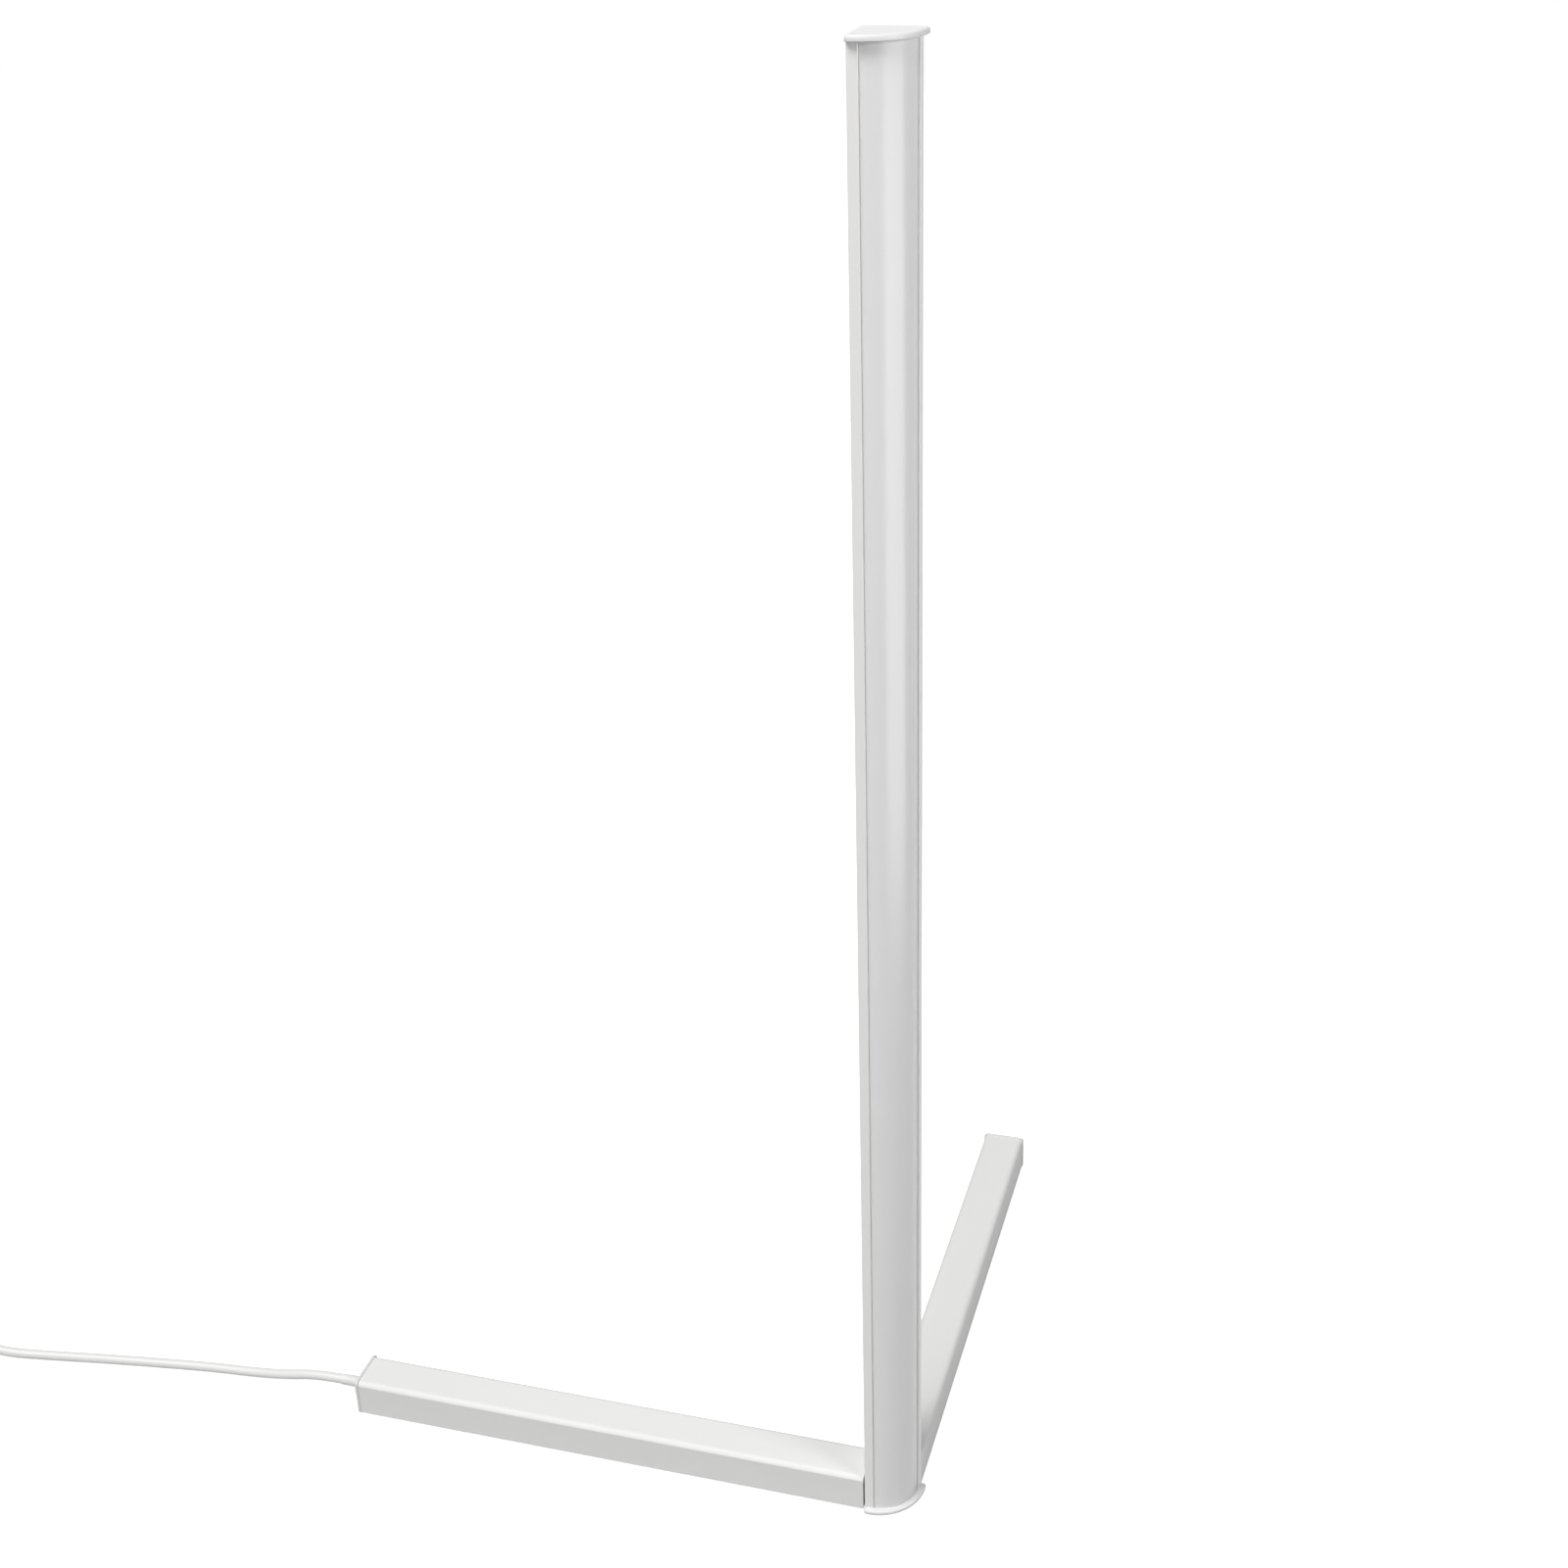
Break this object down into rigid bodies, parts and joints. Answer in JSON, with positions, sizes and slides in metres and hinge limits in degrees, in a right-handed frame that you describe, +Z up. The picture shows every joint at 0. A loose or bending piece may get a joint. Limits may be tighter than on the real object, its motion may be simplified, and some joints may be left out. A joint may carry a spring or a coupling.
{
  "type": "corner floor lamp",
  "caption": "Slim white corner floor lamp: a V-shaped aluminium column with a quarter-round opal cover on hollow feet set at a right angle, with a mains lead, foot switch and plug.",
  "frame": {"origin": "On the floor, at the middle of the rubber pad under the column's lower cap.", "axes": "+Z points up along the column. The left foot runs out along -X and the right foot along +Y. The light leaves the column between +X and -Y."},
  "size_m": [0.9705, 0.463, 1],
  "materials": {
    "white_column_paint": "satin powder coat on extruded aluminium",
    "white_foot_paint": "satin powder coat on extruded aluminium",
    "white_cap_plastic": "fine satin moulding",
    "opal_plastic": "opal diffusing acrylic, extruded, soft gloss",
    "cast_block_metal": "plain die cast",
    "zinc_steel": "zinc plated",
    "white_circuit_board": "white solder mask",
    "light_chip": "yellow phosphor in a white frame",
    "connector_plastic": "moulded nylon",
    "cable_sheath": "satin vinyl sheath",
    "grey_rubber": "soft moulded rubber",
    "pad_rubber": "soft translucent rubber",
    "white_lead_vinyl": "satin vinyl sheath",
    "white_sleeve_vinyl": "soft satin vinyl",
    "core_insulation": "coloured vinyl insulation",
    "earth_insulation": "green and yellow vinyl insulation",
    "tinned_lug": "tinned copper",
    "driver_case_plastic": "fine textured moulding",
    "circuit_board": "green solder mask",
    "transformer_core": "ferrite with yellow tape",
    "capacitor_sleeve": "shrink sleeve",
    "choke_ferrite": "coated ferrite with copper wire",
    "heatsink_metal": "plain rolled",
    "foam": "closed-cell adhesive foam",
    "white_switch_plastic": "fine satin moulding",
    "button_plastic": "soft gloss moulding",
    "contact_block": "moulded phenolic",
    "white_plug_plastic": "fine satin moulding",
    "nickel_pins": "nickel plated brass",
    "tie_strap": "soft vinyl strap"
  },
  "bodies": {
    "lamp": {"column_profile": "white_column_paint", "left_foot_profile": "white_foot_paint", "right_foot_profile": "white_foot_paint", "top_cap": "white_cap_plastic", "bottom_cap": "white_cap_plastic", "left_end_cap": "white_cap_plastic", "right_end_cap": "white_cap_plastic", "opal_cover": "opal_plastic", "left_foot_block": "cast_block_metal", "right_foot_block": "cast_block_metal", "bottom_cap_screws": "zinc_steel", "foot_bolts": "zinc_steel", "foot_washers": "zinc_steel", "block_screws": "zinc_steel", "end_cap_screws": "zinc_steel", "clamp_screws": "zinc_steel", "board_screws": "zinc_steel", "terminal_screws": "zinc_steel", "earth_screw": "zinc_steel", "switch_screws": "zinc_steel", "light_board_lower": "white_circuit_board", "light_board_upper": "white_circuit_board", "light_chips_lower": "light_chip", "light_chips_upper": "light_chip", "board_link": "connector_plastic", "strip_socket": "connector_plastic", "terminal_block": "connector_plastic", "cord_clamp": "connector_plastic", "strip_cable": "cable_sheath", "wing_grommet": "grey_rubber", "floor_pads": "pad_rubber", "cord_inner_end": "white_lead_vinyl", "lead_to_switch": "white_lead_vinyl", "lead_to_coil": "white_lead_vinyl", "lead_coil": "white_lead_vinyl", "lead_to_plug": "white_lead_vinyl", "switch_lead_ends": "white_lead_vinyl", "cord_sleeve": "white_sleeve_vinyl", "plug_boot": "white_sleeve_vinyl", "mains_cores": "core_insulation", "driver_input_wires": "core_insulation", "switch_wires": "core_insulation", "earth_wire": "earth_insulation", "earth_lug": "tinned_lug", "driver_base": "driver_case_plastic", "driver_cover": "driver_case_plastic", "driver_board": "circuit_board", "driver_transformer": "transformer_core", "driver_capacitors": "capacitor_sleeve", "driver_choke": "choke_ferrite", "driver_heatsink": "heatsink_metal", "driver_pad": "foam", "switch_base": "white_switch_plastic", "switch_cover": "white_switch_plastic", "switch_core": "contact_block", "plug_body": "white_plug_plastic", "plug_pins": "nickel_pins", "plug_earth_clips": "nickel_pins", "coil_tie": "tie_strap"},
    "button": {"switch_button": "button_plastic"}
  },
  "joints": [
    {"name": "switch_button_press", "type": "slide", "parent": "lamp", "child": "button", "axis": [0, 0, -1], "range_m": [0, 0.0035], "stiffness_N_per_m": 400, "springref_m": -0.003}
  ]
}
